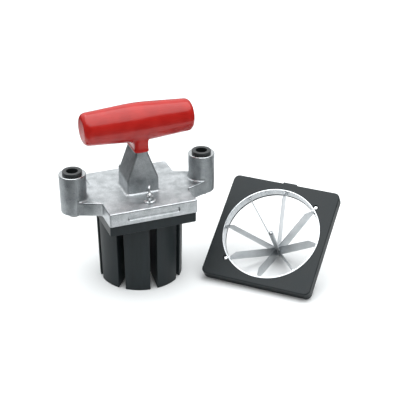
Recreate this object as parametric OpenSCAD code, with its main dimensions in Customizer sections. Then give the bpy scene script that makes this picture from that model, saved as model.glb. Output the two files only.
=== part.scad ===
// Pusher head and blade assembly of a fruit wedger.
// The head stands on its eight fingers. The blade assembly leans beside it,
// on the lower back edge of its frame and on the foot of its hub post.

/* [Head] */
// Distance between the two guide bores
rod_spacing = 152.4; // [140:0.1:170]
// Width of the plate, along the line of the guide bores
plate_w = 101.6; // [94:0.1:108]
// Depth of the plate
plate_d = 109; // [104:0.5:120]
// Thickness of the plate
plate_t = 16; // [12:0.5:20]
// Radius of the plate's upright corners
plate_corner_r = 2; // [1:0.5:4]
// Width of each arm where it leaves the plate
arm_root_w = 49.5; // [40:0.5:56]
// Radius of the guide bosses at the top
boss_r = 15.2; // [12:0.1:16]
// How much thinner the bosses are at the bottom
boss_draft = 0.5; // [0:0.1:1.5]
// Height of the guide bosses above the plate
boss_rise = 29.9; // [20:0.1:36]

/* [Post and grip] */
// Width of the post at the plate
post_w = 37; // [30:0.5:42]
// Depth of the post at the plate
post_d = 35.5; // [34:0.5:38]
// Height of the post's straight foot
post_foot_h = 16.7; // [10:0.1:22]
// Height from the plate to where the post has narrowed to its stem
stem_rise = 48.6; // [42:0.2:50]
// Height from the plate to the lower edge of the grip's collar
collar_rise = 49.8; // [49:0.2:56]
// Width of the stem under the collar
stem_w = 14; // [10:0.5:18]
// Depth of the stem under the collar
stem_d = 32.6; // [28:0.2:33.6]
// Height from the plate to the middle of the grip
grip_rise = 79.8; // [76:0.1:90]
// Length of the grip
grip_len = 126.6; // [110:0.2:140]
// Radius of the grip in the middle
grip_mid_r = 21.6; // [19:0.1:23]
// Radius of the grip at the ends
grip_end_r = 18; // [15:0.2:18.6]
// Radius of the rounded edge at each end of the grip
grip_edge_r = 6.4; // [4:0.2:8]
// Length of the even stretch in the middle of the grip
grip_flat = 14.8; // [8:0.2:24]
// Thickness of the vinyl coat
coat_t = 1.5; // [1.2:0.1:2.4]

/* [Guide bushings] */
// Diameter of the guide rod that the bushings run on
rod_d = 12.7; // [10:0.1:14]
// Radial play between rod and bushing
rod_play = 0.05; // [0.02:0.01:0.09]
// Wall of the bushing's sleeve
bushing_wall = 1.55; // [1.2:0.05:2.4]
// Radius of the bushing's flange
bushing_flange_r = 11.1; // [10.4:0.1:11.8]
// Thickness of the bushing's flange
bushing_flange_t = 3.5; // [2:0.1:5]
// Length of sleeve that stands out below the boss
bushing_tail = 4.5; // [2:0.1:8]

/* [Pusher block] */
// Length of the fingers below the flange
finger_h = 80.6; // [60:0.2:100]
// Radius around the fingers at the floor
finger_low_r = 47.9; // [44:0.1:48.4]
// Radius around the fingers under the flange
finger_top_r = 49.6; // [48.6:0.1:51]
// Thickness of the block's square flange
flange_t = 12.2; // [9:0.2:16]
// How far the flange stays inside the plate at the sides
flange_inset_w = 0.7; // [0.2:0.1:1.2]
// How far the flange stays inside the plate at front and back
flange_inset_d = 1.6; // [0.4:0.1:2.4]
// Width of the slots between the fingers
slot_w = 8.2; // [6:0.1:9.6]
// Angle at which the finger ends rise towards the middle
finger_rise_deg = 17; // [8:1:22]
// Flat land at the foot of each finger
finger_land = 1.5; // [1:0.1:3]
// Radius of the clear space in the middle of the fingers
finger_core_r = 13; // [12.2:0.2:16]

/* [Studs and wing nuts] */
// Distance of the studs from the middle of the plate
stud_offset = 38.6; // [37:0.2:40]
// Diameter of the studs
stud_d = 6.35; // [5:0.05:8]
// Length of stud that stands out above the wing nut's hub
stud_tip = 1.4; // [0.5:0.1:3]
// Distance between the tips of a wing nut's wings
wing_span = 27; // [22:0.5:29]
// Height of the wings above the plate
wing_h = 15.6; // [14:0.2:18]

/* [Blade frame] */
// Length of each side of the frame
frame_side = 131.4; // [124:0.2:140]
// Thickness of the frame
frame_t = 13.4; // [12:0.2:18]
// Radius of the frame's corners
frame_corner_r = 6.5; // [3:0.5:10]
// Radius of the frame's hole
hole_r = 57.35; // [54:0.05:58]
// Length of the tab on the frame's upper edge
tab_len = 17; // [10:0.5:24]
// How far the tab stands out
tab_out = 1.5; // [1:0.1:3]

/* [Blades] */
// Wall of the steel band
band_wall = 1.6; // [1:0.1:2.2]
// Height of the steel band
band_h = 11; // [10:0.2:11.6]
// Thickness of a blade
blade_t = 1; // [0.6:0.1:1.5]
// Depth at which the blades' front edges meet the hub
hub_front = 38.7; // [34:0.1:42]
// Depth at which the blades' back edges meet the hub
hub_back = 58.3; // [54:0.1:62]
// Distance from the axis to the crest of each blade's front edge
crest_r = 45.8; // [40:0.2:48]
// Radius of the hub post
post_r = 2.8; // [2:0.1:3.5]
// Radius of the band pins
pin_r = 2.35; // [2:0.05:3]
// Turn of the blade assembly about the upright axis
unit_turn = -44.65; // [-60:0.05:-30]

/* [Hidden] */

// Smoothness of round shapes, and of the smaller ones
$fn = 96;
small_fn = 48;
// Overrun of every cut
over = 1;

// Heights in the head
plate_z = finger_h + flange_t;
plate_top = plate_z + plate_t;
boss_h = plate_t + boss_rise;
grip_z = plate_top + grip_rise;

// Slot in the front and back faces of the plate
groove_len = 60.3;
groove_h = 6.2;
groove_depth = 2;
collar_corner_r = 4;

// Bushing
sleeve_in_r = rod_d / 2 + rod_play;
sleeve_r = sleeve_in_r + bushing_wall;

// Pusher block
flange_corner_r = 2;
slot_count = 4;
slot_step = 180 / slot_count;

// Studs and wing nuts
stud_r = stud_d / 2;
stud_hole_play = 0.4;
nut_play = 0.05;
nut_base_r = 7;
nut_base_t = 1.8;
nut_hub_r = 5.4;
nut_hub_top_r = 4.7;
nut_hub_h = 8;
wing_t = 2.8;
wing_lobe_r = 5;
wing_front_turn = 73;
wing_back_turn = 20;
nut_gap = 0.05;
// Material left in the block's flange under each stud
stud_floor = 3.2;
stud_set = flange_t - stud_floor;

// Blade assembly
band_out_r = hole_r;
band_in_r = hole_r - band_wall;
lip_in = 1.7;
blade_count = 8;
blade_step = 360 / blade_count;
blade_outer_front = 3.5;
blade_outer_back = 9.4;
// Radius at which the blades' square ends touch the band
blade_end_r = sqrt(pow(band_in_r, 2) - pow(blade_t / 2, 2));
blade_seat = 0.4;
blade_tab_len = 3;
blade_tab_t = 0.8;
blade_tab_front = 2;
blade_tab_back = 10.4;
hub_tip_r = 1.2;
hub_tip_h = 1.2;
apex_drop = 3;
apex_d = hub_back + apex_drop;
pin_centre_r = band_out_r + pin_r;
pin_len = 9.5;
pin_hole_play = 0.25;
pin_turn_upper = 45;
pin_turn_lower = 225;
notch_r = 3.2;
notch_depth = 2.4;
pin_sink = 0.3;
tab_shift = 3.5;
tab_h = 6;

// Pose of the blade assembly: the lower back edge of the frame and the foot
// of the hub post both touch the floor.
unit_tilt = atan((apex_d - frame_t) / (frame_side / 2 - hub_tip_r));
unit_z = frame_side / 2 * sin(unit_tilt) + frame_t * cos(unit_tilt);
// Place of the hole's centre as seen from the head's axis
unit_from_head = [140.6, -56.3];

// Directions of the frame's side, its rise and its face in the room
side_dir = [cos(unit_turn), sin(unit_turn)];
rise_dir = [-sin(unit_turn) * cos(unit_tilt), cos(unit_turn) * cos(unit_tilt)];
face_dir = [sin(unit_turn) * sin(unit_tilt), -cos(unit_turn) * sin(unit_tilt)];

// How far the frame reaches from the centre of its front face along direction e
function reach(e) =
    (frame_side / 2 - frame_corner_r) * (abs(e * side_dir) + abs(e * rise_dir))
    + frame_corner_r * norm([e * side_dir, e * rise_dir])
    + max(0, -frame_t * (e * face_dir));

// Extent of both pieces on the floor, with the head's axis at zero
low_x = -rod_spacing / 2 - boss_r;
high_x = unit_from_head[0] + reach([1, 0]);
low_y = unit_from_head[1] - reach([0, -1]);
high_y = max(plate_d / 2, unit_from_head[1] + reach([0, 1]));
// The origin is the middle of that extent
head_at = [-(low_x + high_x) / 2, -(low_y + high_y) / 2];
unit_at = head_at + unit_from_head;

// Moves a head piece from its own axis to its place
module on_head() {
    translate([head_at[0], head_at[1], 0]) children();
}

// Moves a blade piece from the ring's axis to its place. There the front face
// of the frame is at height zero, and depth runs down.
module on_unit() {
    translate([unit_at[0], unit_at[1], unit_z]) rotate([unit_tilt, 0, unit_turn]) children();
}

// Rectangle with round corners, centred
module round_rect(w, d, r) {
    union() {
        square([w - 2 * r, d], center = true);
        square([w, d - 2 * r], center = true);
        for (sx = [-1, 1], sy = [-1, 1])
            translate([sx * (w / 2 - r), sy * (d / 2 - r)]) circle(r = r, $fn = small_fn);
    }
}

// Plate and arms seen from above
module plate_outline() {
    arm_end_r = boss_r - boss_draft;
    round_rect(plate_w, plate_d, plate_corner_r);
    for (s = [-1, 1])
        polygon([
            [0, -arm_root_w / 2],
            [s * plate_w / 2, -arm_root_w / 2],
            [s * rod_spacing / 2, -arm_end_r],
            [s * rod_spacing / 2, arm_end_r],
            [s * plate_w / 2, arm_root_w / 2],
            [0, arm_root_w / 2]
        ]);
}

// Straight foot, tapered post and stem, as the crossing of a front and a side outline
module post_and_stem() {
    intersection() {
        rotate([90, 0, 0]) translate([0, 0, -post_d / 2]) linear_extrude(post_d)
            post_outline(post_w, stem_w);
        rotate([90, 0, 90]) translate([0, 0, -post_w / 2]) linear_extrude(post_w)
            post_outline(post_d, stem_d);
    }
}

// One outline of the post: w wide at the plate and top_w at the stem
module post_outline(w, top_w) {
    polygon([
        [-w / 2, -plate_t / 2],
        [w / 2, -plate_t / 2],
        [w / 2, post_foot_h],
        [top_w / 2, stem_rise],
        [top_w / 2, grip_rise],
        [-top_w / 2, grip_rise],
        [-top_w / 2, stem_rise],
        [-w / 2, post_foot_h]
    ]);
}

// Half outline of the grip, or of the bar inside it when inset by the coat
module bar_outline(inset) {
    half = grip_len / 2 - inset;
    mid_r = grip_mid_r - inset;
    end_r = grip_end_r - inset;
    edge_r = grip_edge_r - inset;
    flat = grip_flat / 2;
    slope = atan((mid_r - end_r) / (half - flat));
    edge_x = half - edge_r;
    line_r = mid_r - (edge_x - flat) * tan(slope);
    edge_c = line_r - edge_r / cos(slope);
    union() {
        polygon([
            [0, -half],
            [edge_c, -half],
            [edge_c, -edge_x],
            [edge_c + edge_r * cos(slope), -edge_x - edge_r * sin(slope)],
            [mid_r, -flat],
            [mid_r, flat],
            [edge_c + edge_r * cos(slope), edge_x + edge_r * sin(slope)],
            [edge_c, edge_x],
            [edge_c, half],
            [0, half]
        ]);
        for (s = [-1, 1]) intersection() {
            translate([edge_c, s * edge_x]) circle(r = edge_r, $fn = small_fn);
            translate([0, -half]) square([mid_r, 2 * half]);
        }
    }
}

// Bar of the T, lying along X
module bar(inset) {
    translate([0, 0, grip_z]) rotate([0, 90, 0]) rotate_extrude() bar_outline(inset);
}

// Obround groove, cut into the front face at -Y
module groove() {
    translate([0, -plate_d / 2, plate_z + plate_t / 2]) rotate([90, 0, 0])
        translate([0, 0, -groove_depth]) linear_extrude(groove_depth + over) {
            square([groove_len - groove_h, groove_h], center = true);
            for (s = [-1, 1])
                translate([s * (groove_len - groove_h) / 2, 0]) circle(d = groove_h, $fn = small_fn);
        }
}

module pusher_casting() color("#B9BEC1") on_head() {
    difference() {
        union() {
            translate([0, 0, plate_z]) linear_extrude(plate_t) plate_outline();
            for (s = [-1, 1]) translate([s * rod_spacing / 2, 0, plate_z])
                cylinder(h = boss_h, r1 = boss_r - boss_draft, r2 = boss_r);
            translate([0, 0, plate_top]) post_and_stem();
            bar(coat_t);
        }
        for (s = [-1, 1]) translate([s * rod_spacing / 2, 0, plate_z - over])
            cylinder(h = boss_h + 2 * over, r = sleeve_r);
        for (s = [-1, 1]) translate([0, s * stud_offset, plate_z - over])
            cylinder(h = plate_t + 2 * over, r = stud_r + stud_hole_play, $fn = small_fn);
        groove();
        rotate([0, 0, 180]) groove();
    }
}

// Collar of the grip: a sleeve with round corners round the stem
module collar() {
    translate([0, 0, collar_rise]) linear_extrude(grip_rise - collar_rise)
        round_rect(stem_w + 2 * coat_t, stem_d + 2 * coat_t, collar_corner_r);
}

module handle_grip() color("#B32B26") on_head() {
    difference() {
        union() {
            bar(0);
            translate([0, 0, plate_top]) collar();
        }
        bar(coat_t);
        translate([0, 0, plate_top]) post_and_stem();
    }
}

// Flanged bushing on the bore at side s
module bushing(s) {
    translate([s * rod_spacing / 2, 0, 0]) difference() {
        union() {
            translate([0, 0, plate_z - bushing_tail]) cylinder(h = boss_h + bushing_tail, r = sleeve_r);
            translate([0, 0, plate_z + boss_h]) cylinder(h = bushing_flange_t, r = bushing_flange_r);
        }
        translate([0, 0, plate_z - bushing_tail - over])
            cylinder(h = boss_h + bushing_tail + bushing_flange_t + 2 * over, r = sleeve_in_r);
    }
}

module guide_bushing_left() color("#2B2E2F") on_head() bushing(-1);
module guide_bushing_right() color("#2B2E2F") on_head() bushing(1);

module pusher_block() color("#2E3333") on_head() {
    cone_r = finger_low_r - finger_land;
    cone_h = cone_r * tan(finger_rise_deg);
    difference() {
        union() {
            translate([0, 0, finger_h]) linear_extrude(flange_t)
                round_rect(plate_w - 2 * flange_inset_w, plate_d - 2 * flange_inset_d, flange_corner_r);
            cylinder(h = finger_h, r1 = finger_low_r, r2 = finger_top_r);
        }
        for (i = [0 : slot_count - 1]) rotate([0, 0, i * slot_step])
            translate([-finger_top_r - over, -slot_w / 2, -over])
                cube([2 * finger_top_r + 2 * over, slot_w, finger_h + over]);
        translate([0, 0, -over]) cylinder(h = finger_h + over, r = finger_core_r);
        cylinder(h = cone_h, r1 = cone_r, r2 = 0);
        for (s = [-1, 1]) translate([0, s * stud_offset, plate_z - stud_set])
            cylinder(h = stud_set + over, r = stud_r, $fn = small_fn);
    }
}

// Stud at side s of the post
module stud(s) {
    translate([0, s * stud_offset, plate_z - stud_set])
        cylinder(h = stud_set + plate_t + nut_gap + nut_hub_h + stud_tip, r = stud_r, $fn = small_fn);
}

module stud_front() color("#C9CDCF") on_head() stud(-1);
module stud_back() color("#C9CDCF") on_head() stud(1);

// Wing nut on the stud at side s, with its wings turned by turn
module wing_nut(s, turn) {
    lobe_x = wing_span / 2 - wing_lobe_r;
    lobe_z = wing_h - wing_lobe_r;
    translate([0, s * stud_offset, plate_top + nut_gap]) rotate([0, 0, turn]) difference() {
        union() {
            cylinder(h = nut_base_t, r = nut_base_r, $fn = small_fn);
            cylinder(h = nut_hub_h, r1 = nut_hub_r, r2 = nut_hub_top_r, $fn = small_fn);
            rotate([90, 0, 0]) translate([0, 0, -wing_t / 2]) linear_extrude(wing_t)
                for (side = [-1, 1]) {
                    translate([side * lobe_x, lobe_z]) circle(r = wing_lobe_r, $fn = small_fn);
                    polygon([
                        [0, nut_base_t / 2],
                        [side * nut_base_r, nut_base_t],
                        [side * (lobe_x + wing_lobe_r), lobe_z],
                        [side * (lobe_x - wing_lobe_r), lobe_z],
                        [side * nut_hub_top_r / 2, nut_hub_h],
                        [0, nut_hub_h]
                    ]);
                }
        }
        translate([0, 0, -over]) cylinder(h = wing_h + 2 * over, r = stud_r + nut_play, $fn = small_fn);
    }
}

module wing_nut_front() color("#D3D7D9") on_head() wing_nut(-1, wing_front_turn);
module wing_nut_back() color("#D3D7D9") on_head() wing_nut(1, wing_back_turn);

// Moves a piece to the pin that sits on the ring's edge at angle a
module at_pin(a) {
    translate([pin_centre_r * cos(a), pin_centre_r * sin(a), 0]) children();
}

module blade_frame() color("#3A3F41") on_unit() {
    difference() {
        union() {
            translate([0, 0, -frame_t]) linear_extrude(frame_t)
                round_rect(frame_side, frame_side, frame_corner_r);
            translate([tab_shift - tab_len / 2, frame_side / 2 - over, -tab_h])
                cube([tab_len, tab_out + over, tab_h]);
        }
        translate([0, 0, -band_h]) cylinder(h = band_h + over, r = hole_r);
        translate([0, 0, -frame_t - over]) cylinder(h = frame_t, r = hole_r - lip_in);
        for (a = [pin_turn_upper, pin_turn_lower]) at_pin(a) {
            translate([0, 0, -notch_depth])
                cylinder(h = notch_depth + over, r = notch_r, $fn = small_fn);
            translate([0, 0, -pin_sink - pin_len])
                cylinder(h = pin_len + over, r = pin_r + pin_hole_play, $fn = small_fn);
        }
    }
}

module blade_band() color("#C4C9CC") on_unit() {
    translate([0, 0, -band_h]) difference() {
        cylinder(h = band_h, r = band_out_r);
        translate([0, 0, -over]) cylinder(h = band_h + 2 * over, r = band_in_r);
    }
}

// Half blade number i, with its bent end on the band. The first half of them
// have the bend on the clockwise side, and their opposite partners on the other.
module blade(i) {
    bend = i < blade_count / 2 ? 1 : 0;
    rotate([0, 0, i * blade_step]) mirror([0, bend, 0]) {
        rotate([90, 0, 0]) translate([0, 0, -blade_t / 2]) linear_extrude(blade_t) polygon([
            [post_r - blade_seat, -hub_front],
            [crest_r, 0],
            [blade_end_r, -blade_outer_front],
            [blade_end_r, -blade_outer_back],
            [post_r - blade_seat, -hub_back]
        ]);
        translate([0, 0, -blade_tab_back]) linear_extrude(blade_tab_back - blade_tab_front)
            intersection() {
                difference() {
                    circle(r = band_in_r);
                    circle(r = band_in_r - blade_tab_t);
                }
                translate([0, -blade_t / 2]) square([band_in_r + over, blade_tab_len]);
            }
    }
}

module blade_1() color("#AEB3B7") on_unit() blade(0);
module blade_2() color("#AEB3B7") on_unit() blade(1);
module blade_3() color("#AEB3B7") on_unit() blade(2);
module blade_4() color("#AEB3B7") on_unit() blade(3);
module blade_5() color("#AEB3B7") on_unit() blade(4);
module blade_6() color("#AEB3B7") on_unit() blade(5);
module blade_7() color("#AEB3B7") on_unit() blade(6);
module blade_8() color("#AEB3B7") on_unit() blade(7);

module hub_post() color("#9EA3A6") on_unit() {
    difference() {
        union() {
            translate([0, 0, hub_tip_h - apex_d]) cylinder(h = apex_d - 2 * hub_tip_h, r = post_r, $fn = small_fn);
            translate([0, 0, -apex_d]) cylinder(h = hub_tip_h, r1 = hub_tip_r, r2 = post_r, $fn = small_fn);
            translate([0, 0, -hub_tip_h]) cylinder(h = hub_tip_h, r1 = post_r, r2 = hub_tip_r, $fn = small_fn);
        }
        for (i = [0 : blade_count - 1]) rotate([0, 0, i * blade_step])
            translate([post_r - blade_seat, -blade_t / 2, -hub_back])
                cube([blade_seat + over, blade_t, hub_back - hub_front]);
    }
}

// Pin in the notch at angle a
module band_pin(a) {
    at_pin(a) translate([0, 0, -pin_sink - pin_len]) cylinder(h = pin_len, r = pin_r, $fn = small_fn);
}

module band_pin_upper() color("#DDE1E3") on_unit() band_pin(pin_turn_upper);
module band_pin_lower() color("#DDE1E3") on_unit() band_pin(pin_turn_lower);

pusher_casting();
handle_grip();
guide_bushing_left();
guide_bushing_right();
pusher_block();
stud_front();
stud_back();
wing_nut_front();
wing_nut_back();
blade_frame();
blade_band();
blade_1();
blade_2();
blade_3();
blade_4();
blade_5();
blade_6();
blade_7();
blade_8();
hub_post();
band_pin_upper();
band_pin_lower();
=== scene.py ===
"""A fruit wedger's two loose parts on a white table: the pusher head with its red grip and finger
block, and the square blade assembly that leans on its hub post."""
import math

import bmesh
import bpy
from mathutils import Matrix, Vector


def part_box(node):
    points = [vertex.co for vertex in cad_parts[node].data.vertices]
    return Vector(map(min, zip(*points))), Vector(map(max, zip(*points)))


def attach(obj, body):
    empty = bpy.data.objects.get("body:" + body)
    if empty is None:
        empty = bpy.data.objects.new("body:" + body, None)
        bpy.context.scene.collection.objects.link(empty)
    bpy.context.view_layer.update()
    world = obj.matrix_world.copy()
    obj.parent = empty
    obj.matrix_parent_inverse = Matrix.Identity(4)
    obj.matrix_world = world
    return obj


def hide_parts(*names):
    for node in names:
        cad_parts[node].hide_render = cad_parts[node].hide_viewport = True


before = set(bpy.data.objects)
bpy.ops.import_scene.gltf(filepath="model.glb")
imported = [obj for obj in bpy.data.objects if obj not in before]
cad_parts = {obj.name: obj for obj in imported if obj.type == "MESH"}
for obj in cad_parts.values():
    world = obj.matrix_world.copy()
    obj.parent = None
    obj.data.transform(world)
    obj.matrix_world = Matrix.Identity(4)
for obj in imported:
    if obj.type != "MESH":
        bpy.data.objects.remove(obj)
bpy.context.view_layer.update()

mm = 0.001
weld = 0.002 * mm  # corners this close are one
hair = 0.01 * mm  # heights this close are the same
past = 2 * mm  # how far a cutter reaches past a face

# Sizes of the casting
plate_w, plate_d, plate_t = 101.6 * mm, 109 * mm, 16 * mm
plate_corner_r = 2 * mm
arm_root_w = 49.5 * mm
boss_r, boss_draft, boss_rise = 15.2 * mm, 0.5 * mm, 29.9 * mm
post_w, post_d, post_foot_h = 37 * mm, 35.5 * mm, 16.7 * mm
stem_w, stem_d, stem_rise = 14 * mm, 32.6 * mm, 48.6 * mm
foot_fillet_r = 3 * mm
plate_top_round, plate_low_round, arm_root_r = 1.7 * mm, 0.9 * mm, 2.5 * mm
boss_top_round, boss_low_round, boss_foot_in = 0.9 * mm, 1.2 * mm, 1.2 * mm
post_edge_r, post_foot_corner_r, post_sunk = 2.3 * mm, 4.6 * mm, 4 * mm
groove_len, groove_h, groove_depth = 60.3 * mm, 6.2 * mm, 2 * mm
groove_draft, groove_mouth, groove_lip = 1.8 * mm, 0.7 * mm, 0.5 * mm

# Sizes of the dipped grip
grip_rise, grip_len = 79.8 * mm, 126.6 * mm
grip_mid_r, grip_end_r, grip_edge_r, grip_flat = 21.6 * mm, 18 * mm, 6.4 * mm, 14.8 * mm
collar_rise, coat_t, collar_corner_r = 49.8 * mm, 1.5 * mm, 4 * mm
collar_swell = ((-1, -0.3), (0.1, 0.5), (0.3, 1.6), (-0.5, 3.4), (-0.5, 8), (0, 13))  # width, height in mm
grip_voxel = 0.55 * mm

# Sizes of the bushings and the finger block
sleeve_r, sleeve_in_r = 7.95 * mm, 6.4 * mm
bushing_flange_r, bushing_flange_t, bushing_tail = 11.1 * mm, 3.5 * mm, 4.5 * mm
finger_h, finger_low_r, finger_top_r = 80.6 * mm, 47.9 * mm, 49.6 * mm
finger_core_r, finger_rise, slot_w = 13 * mm, math.radians(17), 8.2 * mm
flange_t, flange_inset_w, flange_inset_d, flange_corner_r = 12.2 * mm, 0.7 * mm, 1.6 * mm, 2 * mm
finger_count = 8
finger_side_r, finger_foot_r, foot_cone_reach = 1.9 * mm, 1.1 * mm, 8 * mm

# Sizes of the studs and wing nuts
stud_offset, stud_r, stud_set, stud_tip = 38.6 * mm, 3.175 * mm, 9 * mm, 1.4 * mm
thread_pitch, thread_depth = 1.27 * mm, 0.35 * mm
wing_span, wing_h, wing_t, wing_lobe_r = 27 * mm, 15.6 * mm, 2.8 * mm, 5 * mm
nut_base_r, nut_base_t, nut_hub_r, nut_hub_top_r, nut_hub_h = 7 * mm, 1.8 * mm, 5.4 * mm, 4.7 * mm, 8 * mm
nut_gap, nut_play = 0.05 * mm, 0.05 * mm
stud_hole_play, stud_seat_play = 0.4 * mm, 0.02 * mm
nut_voxel = 0.22 * mm
wing_front_turn, wing_back_turn = math.radians(73), math.radians(20)

# Sizes of the blade assembly, with depth measured down from the frame's front face
frame_side, frame_t, frame_corner_r = 131.4 * mm, 13.4 * mm, 6.5 * mm
hole_r, lip_in = 57.35 * mm, 1.7 * mm
tab_len, tab_out, tab_h, tab_shift = 17 * mm, 1.5 * mm, 6 * mm, 3.5 * mm
band_wall, band_h = 1.6 * mm, 11 * mm
band_in_r = hole_r - band_wall
blade_t, hub_front, hub_back, crest_r = 1 * mm, 38.7 * mm, 58.3 * mm, 45.8 * mm
blade_outer_front, blade_outer_back, blade_seat = 3.5 * mm, 9.4 * mm, 0.4 * mm
blade_end_r = math.sqrt(band_in_r ** 2 - (blade_t / 2) ** 2)
blade_tab_len, blade_tab_t, blade_tab_front, blade_tab_back = 3 * mm, 0.8 * mm, 2 * mm, 10.4 * mm
blade_count = 8
post_r, hub_tip_r, hub_tip_h, apex_d = 2.8 * mm, 1.2 * mm, 1.2 * mm, 61.3 * mm
pin_r, pin_len, pin_sink, pin_play = 2.35 * mm, 9.5 * mm, 0.3 * mm, 0.25 * mm
pin_out = (hole_r + pin_r) * math.cos(math.pi / 4)
notch_r, notch_depth = 3.2 * mm, 2.4 * mm
unit_turn = math.radians(-44.65)
unit_tilt = math.atan((apex_d - frame_t) / (frame_side / 2 - hub_tip_r))

# Heights above the table
plate_z = finger_h + flange_t
plate_top = plate_z + plate_t
boss_top = plate_top + boss_rise
grip_z = plate_top + grip_rise

# Where the two items stand, taken from the frame's own pieces
left_bushing, right_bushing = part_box("guide_bushing_left"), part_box("guide_bushing_right")
head_x = (left_bushing[0].x + right_bushing[1].x) / 2
head_y = (left_bushing[0].y + left_bushing[1].y) / 2
rod_half = (right_bushing[0].x + right_bushing[1].x) / 2 - head_x
to_head = Matrix.Translation((head_x, head_y, 0))
upper_pin, lower_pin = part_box("band_pin_upper"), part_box("band_pin_lower")
unit_turned = Matrix.Rotation(unit_turn, 4, "Z") @ Matrix.Rotation(unit_tilt, 4, "X")
pins_middle = (upper_pin[0] + upper_pin[1] + lower_pin[0] + lower_pin[1]) / 4
unit_face = pins_middle + unit_turned.to_3x3() @ Vector((0, 0, pin_sink + pin_len / 2))
to_unit = Matrix.Translation(unit_face) @ unit_turned


# ---- Ways of making a piece ----

def clear_bench():
    """Leaves edit mode with nothing selected."""
    if bpy.context.mode != "OBJECT":
        bpy.ops.object.mode_set(mode="OBJECT")
    bpy.ops.object.select_all(action="DESELECT")


def take(piece):
    """Makes one piece the only selected and the active one."""
    clear_bench()
    piece.select_set(True)
    bpy.context.view_layer.objects.active = piece


def open_up(piece, chosen="SELECT"):
    """Opens a piece in edit mode with all of it selected, or nothing."""
    take(piece)
    bpy.ops.object.mode_set(mode="EDIT")
    bpy.ops.mesh.select_mode(type="VERT")
    bpy.ops.mesh.select_all(action=chosen)


def close_up(piece):
    """Merges doubles, turns the faces outwards and puts the place into the mesh."""
    bpy.ops.mesh.select_all(action="SELECT")
    bpy.ops.mesh.remove_doubles(threshold=weld)
    bpy.ops.mesh.normals_make_consistent(inside=False)
    bpy.ops.object.mode_set(mode="OBJECT")
    bpy.ops.object.transform_apply(location=True, rotation=True, scale=True)
    return piece


def new_piece(name):
    """Names the primitive that was just added."""
    piece = bpy.context.object
    piece.name = piece.data.name = name
    return piece


def turned(name, rings, centre=(0, 0), sides=96, hollow=False):
    """Turns a profile of (radius, height) rings about a vertical axis."""
    clear_bench()
    r, z = rings[0]
    bpy.ops.mesh.primitive_circle_add(vertices=sides, radius=r, fill_type="NOTHING" if hollow else "NGON",
                                      location=(centre[0], centre[1], z))
    piece = new_piece(name)
    open_up(piece)
    for next_r, next_z in rings[1:]:
        bpy.ops.mesh.extrude_region_move(TRANSFORM_OT_translate={"value": (0, 0, next_z - z)})
        growth = next_r / r
        bpy.ops.transform.resize(value=(growth, growth, 1), center_override=(centre[0], centre[1], next_z))
        r, z = next_r, next_z
    return close_up(piece)


def stacked(name, levels, corner, centre=(0, 0), steps=5):
    """Stacks rectangles of (width, depth, height) with round upright corners."""
    clear_bench()
    w, d, z = levels[0]
    bpy.ops.mesh.primitive_plane_add(size=1, location=(centre[0], centre[1], z))
    piece = new_piece(name)
    piece.scale = (w, d, 1)
    bpy.ops.object.transform_apply(location=False, rotation=False, scale=True)
    open_up(piece)
    bpy.ops.mesh.bevel(offset=corner, segments=steps, affect="VERTICES", clamp_overlap=False)
    bpy.ops.mesh.select_all(action="SELECT")
    for next_w, next_d, next_z in levels[1:]:
        bpy.ops.mesh.extrude_region_move(TRANSFORM_OT_translate={"value": (0, 0, next_z - z)})
        bpy.ops.transform.resize(value=(next_w / w, next_d / d, 1),
                                 center_override=(centre[0], centre[1], next_z))
        w, d, z = next_w, next_d, next_z
    return close_up(piece)


def carry(piece, old, new):
    """Moves each selected corner from its old place to its new one."""
    shape = bmesh.from_edit_mesh(piece.data)
    waiting = [corner.index for corner in shape.verts if corner.select]
    moved = list(waiting)
    for here, there in zip(old, new):
        shape = bmesh.from_edit_mesh(piece.data)
        shape.verts.ensure_lookup_table()
        nearest = min(waiting, key=lambda i: (shape.verts[i].co - Vector(here)).length)
        waiting.remove(nearest)
        bpy.ops.mesh.select_all(action="DESELECT")
        shape.verts[nearest].select_set(True)
        bpy.ops.transform.translate(value=Vector(there) - Vector(here))
    shape = bmesh.from_edit_mesh(piece.data)
    shape.verts.ensure_lookup_table()
    for i in moved:
        shape.verts[i].select_set(True)
    shape.select_flush(True)
    bmesh.update_edit_mesh(piece.data)


def lofted(name, rings):
    """Runs a solid through rings of corners, from the first to the last."""
    clear_bench()
    bpy.ops.mesh.primitive_circle_add(vertices=len(rings[0]), radius=5 * mm, fill_type="NGON")
    piece = new_piece(name)
    open_up(piece)
    here = [tuple(corner.co) for corner in bmesh.from_edit_mesh(piece.data).verts]
    for ring in rings:
        if ring is not rings[0]:
            bpy.ops.mesh.extrude_region_move(TRANSFORM_OT_translate={"value": (0, 0, 0)})
        carry(piece, here, ring)
        here = ring
    return close_up(piece)


def round_edges(piece, test, width, steps=4):
    """Rounds the edges for which test(one end, other end, edge) holds."""
    open_up(piece, "DESELECT")
    bpy.ops.mesh.select_mode(type="EDGE")
    shape = bmesh.from_edit_mesh(piece.data)
    shape.normal_update()
    for edge in shape.edges:
        if test(edge.verts[0].co, edge.verts[1].co, edge):
            edge.select_set(True)
    bmesh.update_edit_mesh(piece.data)
    bpy.ops.mesh.bevel(offset=width, segments=steps, affect="EDGES", clamp_overlap=False)
    bpy.ops.mesh.select_mode(type="VERT")
    return close_up(piece)


def combined(piece, tool, how="UNION"):
    """Joins a second solid to a piece, or cuts with it, and puts the second one away."""
    take(piece)
    bpy.ops.object.modifier_add(type="BOOLEAN")
    change = piece.modifiers[-1]
    change.operation, change.solver, change.object = how, "MANIFOLD", tool
    bpy.ops.object.modifier_apply(modifier=change.name)
    bpy.data.objects.remove(tool)
    return piece


def neat(piece):
    """Clears the slivers without area that unions and cuts leave behind."""
    open_up(piece)
    bpy.ops.mesh.remove_doubles(threshold=hair)
    bpy.ops.mesh.dissolve_degenerate(threshold=hair)
    return close_up(piece)


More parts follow.
